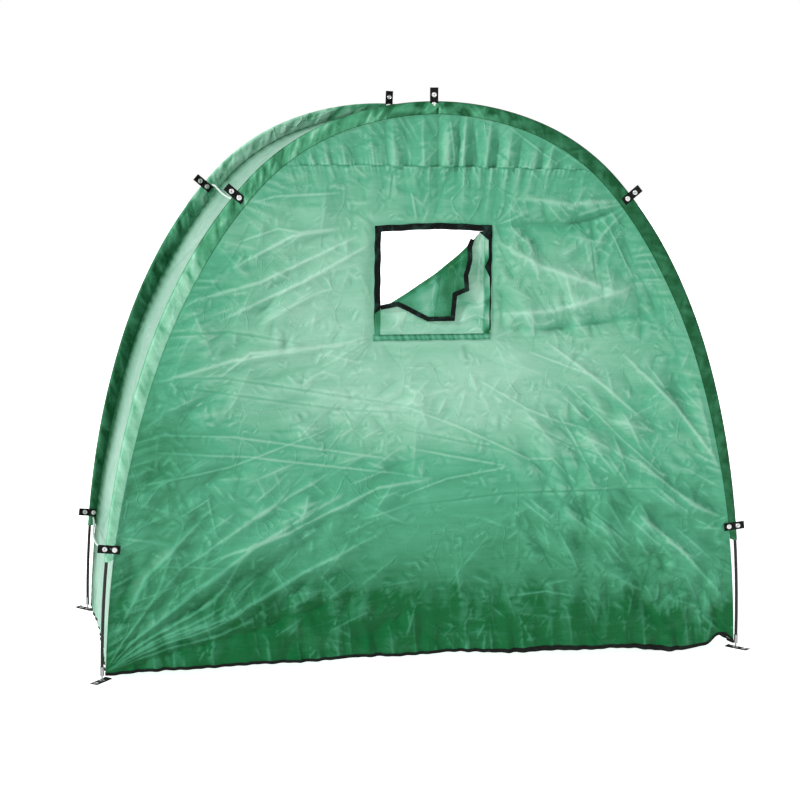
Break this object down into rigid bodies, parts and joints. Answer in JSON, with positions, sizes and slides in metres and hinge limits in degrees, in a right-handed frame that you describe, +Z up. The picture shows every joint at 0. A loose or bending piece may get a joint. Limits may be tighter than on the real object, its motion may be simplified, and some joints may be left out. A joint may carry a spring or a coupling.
{
  "type": "arched storage tent",
  "caption": "Two-arch fabric shelter with pole sleeves, a windowed wall, a roof band and a wide doorway, for covering bicycles or garden goods.",
  "frame": {"origin": "on the ground at the centre of the footprint", "axes": "+Z up, +X across the width (to the right when facing the windowed wall), -Y out of the windowed wall, +Y out of the doorway"},
  "size_m": [2.007, 0.8828, 1.69],
  "materials": {
    "wall_cloth": "thin coated taffeta, creased, slight sheen",
    "sleeve_cloth": "doubled coated taffeta",
    "band_cloth": "pale coated taffeta",
    "webbing": "woven polypropylene webbing",
    "grip_tape": "hook or loop tape",
    "binding": "folded binding tape",
    "stud_metal": "nickel plated press stud",
    "eyelet_metal": "rolled eyelet",
    "pole_rod": "black glass-fibre tube",
    "ferrule_steel": "drawn tube",
    "pole_tip_metal": "turned tip",
    "elastic": "braided elastic",
    "tie_cord": "pale braided cord",
    "zip_plastic": "nylon coil on tape",
    "zip_metal": "black painted casting"
  },
  "bodies": {
    "shelter": {"near_pole_sections": "pole_rod", "near_pole_ferrules": "ferrule_steel", "near_pole_elastic": "elastic", "near_pole_tips": "pole_tip_metal", "near_pole_sleeve": "sleeve_cloth", "far_pole_sections": "pole_rod", "far_pole_ferrules": "ferrule_steel", "far_pole_elastic": "elastic", "far_pole_tips": "pole_tip_metal", "far_pole_sleeve": "sleeve_cloth", "window_wall": "wall_cloth", "window_wall_cap": "wall_cloth", "door_header": "wall_cloth", "door_side_left": "wall_cloth", "door_side_right": "wall_cloth", "door_roll": "wall_cloth", "window_sill_band": "wall_cloth", "roof_band": "band_cloth", "near_hem_binding": "binding", "far_hem_binding_left": "binding", "far_hem_binding_right": "binding", "left_hem_binding": "binding", "right_hem_binding": "binding", "hook_tape_top": "grip_tape", "hook_tape_left": "grip_tape", "hook_tape_right": "grip_tape", "tab_roots": "webbing", "tab_studs": "stud_metal", "near_left_foot_tab": "webbing", "near_right_foot_tab": "webbing", "far_left_foot_tab": "webbing", "far_right_foot_tab": "webbing", "foot_eyelets": "eyelet_metal", "door_strap_left": "webbing", "zip_tape_left": "zip_plastic", "door_strap_right": "webbing", "zip_tape_right": "zip_plastic", "lower_tie_cord": "tie_cord", "upper_tie_cord": "tie_cord"},
    "window_flap": {"window_flap": "wall_cloth", "window_flap_side_tape": "grip_tape"},
    "window_flap_corner": {"window_flap_corner": "wall_cloth", "window_flap_corner_tape": "grip_tape"},
    "near_lower_left_tab": {"near_lower_left_tab_tip": "webbing"},
    "near_upper_left_tab": {"near_upper_left_tab_tip": "webbing"},
    "near_top_tab": {"near_top_tab_tip": "webbing"},
    "near_upper_right_tab": {"near_upper_right_tab_tip": "webbing"},
    "near_lower_right_tab": {"near_lower_right_tab_tip": "webbing"},
    "far_lower_left_tab": {"far_lower_left_tab_tip": "webbing"},
    "far_upper_left_tab": {"far_upper_left_tab_tip": "webbing"},
    "far_top_tab": {"far_top_tab_tip": "webbing"},
    "far_upper_right_tab": {"far_upper_right_tab_tip": "webbing"},
    "far_lower_right_tab": {"far_lower_right_tab_tip": "webbing"},
    "zip_slider_left": {"zip_slider_left": "zip_metal"},
    "zip_pull_left": {"zip_pull_left": "zip_metal"},
    "zip_slider_right": {"zip_slider_right": "zip_metal"},
    "zip_pull_right": {"zip_pull_right": "zip_metal"}
  },
  "joints": [
    {"name": "window_flap_hinge", "type": "hinge", "parent": "shelter", "child": "window_flap", "pos_m": [-0.0105, -0.40395, 0.987], "axis": [1, 0, 0], "range_deg": [0, 172]},
    {"name": "flap_corner_fold", "type": "hinge", "parent": "window_flap", "child": "window_flap_corner", "pos_m": [-0.183, -0.40395, 1.045], "axis": [-0.8187, 0, -0.5743], "range_deg": [0, 172]},
    {"name": "near_lower_left_tab_fold", "type": "hinge", "parent": "shelter", "child": "near_lower_left_tab", "pos_m": [-0.93965, -0.4034, 0.38567], "axis": [0.1108, 0, 0.9938], "range_deg": [0, 170], "stiffness_Nm_per_rad": 0.02},
    {"name": "near_upper_left_tab_fold", "type": "hinge", "parent": "shelter", "child": "near_upper_left_tab", "pos_m": [-0.58116, -0.4034, 1.38536], "axis": [0.6439, 0, 0.7651], "range_deg": [0, 170], "stiffness_Nm_per_rad": 0.02},
    {"name": "near_top_tab_fold", "type": "hinge", "parent": "shelter", "child": "near_top_tab", "pos_m": [-0.01507, -0.4034, 1.65386], "axis": [0.9998, 0, 0.018], "range_deg": [0, 170], "stiffness_Nm_per_rad": 0.02},
    {"name": "near_upper_right_tab_fold", "type": "hinge", "parent": "shelter", "child": "near_upper_right_tab", "pos_m": [0.58116, -0.4034, 1.38536], "axis": [0.6439, 0, -0.7651], "range_deg": [0, 170], "stiffness_Nm_per_rad": 0.02},
    {"name": "near_lower_right_tab_fold", "type": "hinge", "parent": "shelter", "child": "near_lower_right_tab", "pos_m": [0.93965, -0.4034, 0.38567], "axis": [0.1108, 0, -0.9938], "range_deg": [0, 170], "stiffness_Nm_per_rad": 0.02},
    {"name": "far_lower_left_tab_fold", "type": "hinge", "parent": "shelter", "child": "far_lower_left_tab", "pos_m": [-0.95573, 0.3966, 0.32582], "axis": [0.0896, 0, 0.996], "range_deg": [0, 130], "stiffness_Nm_per_rad": 0.02},
    {"name": "far_upper_left_tab_fold", "type": "hinge", "parent": "shelter", "child": "far_upper_left_tab", "pos_m": [-0.57947, 0.3966, 1.38735], "axis": [0.6455, 0, 0.7637], "range_deg": [0, 170], "stiffness_Nm_per_rad": 0.02},
    {"name": "far_top_tab_fold", "type": "hinge", "parent": "shelter", "child": "far_top_tab", "pos_m": [0.02518, 0.3966, 1.65562], "axis": [0.9996, 0, -0.0299], "range_deg": [0, 170], "stiffness_Nm_per_rad": 0.02},
    {"name": "far_upper_right_tab_fold", "type": "hinge", "parent": "shelter", "child": "far_upper_right_tab", "pos_m": [0.57947, 0.3966, 1.38735], "axis": [0.6455, 0, -0.7637], "range_deg": [0, 170], "stiffness_Nm_per_rad": 0.02},
    {"name": "far_lower_right_tab_fold", "type": "hinge", "parent": "shelter", "child": "far_lower_right_tab", "pos_m": [0.95573, 0.3966, 0.32582], "axis": [0.0896, 0, -0.996], "range_deg": [0, 130], "stiffness_Nm_per_rad": 0.02},
    {"name": "zip_slide_left", "type": "slide", "parent": "shelter", "child": "zip_slider_left", "axis": [0, 0, -1], "range_m": [0, 1.15]},
    {"name": "zip_pull_swing_left", "type": "hinge", "parent": "zip_slider_left", "child": "zip_pull_left", "pos_m": [-0.5215, 0.4075, 1.265], "axis": [1, 0, 0], "range_deg": [0, 150]},
    {"name": "zip_slide_right", "type": "slide", "parent": "shelter", "child": "zip_slider_right", "axis": [0, 0, -1], "range_m": [0, 1.15]},
    {"name": "zip_pull_swing_right", "type": "hinge", "parent": "zip_slider_right", "child": "zip_pull_right", "pos_m": [0.5215, 0.4075, 1.265], "axis": [1, 0, 0], "range_deg": [0, 150]}
  ]
}
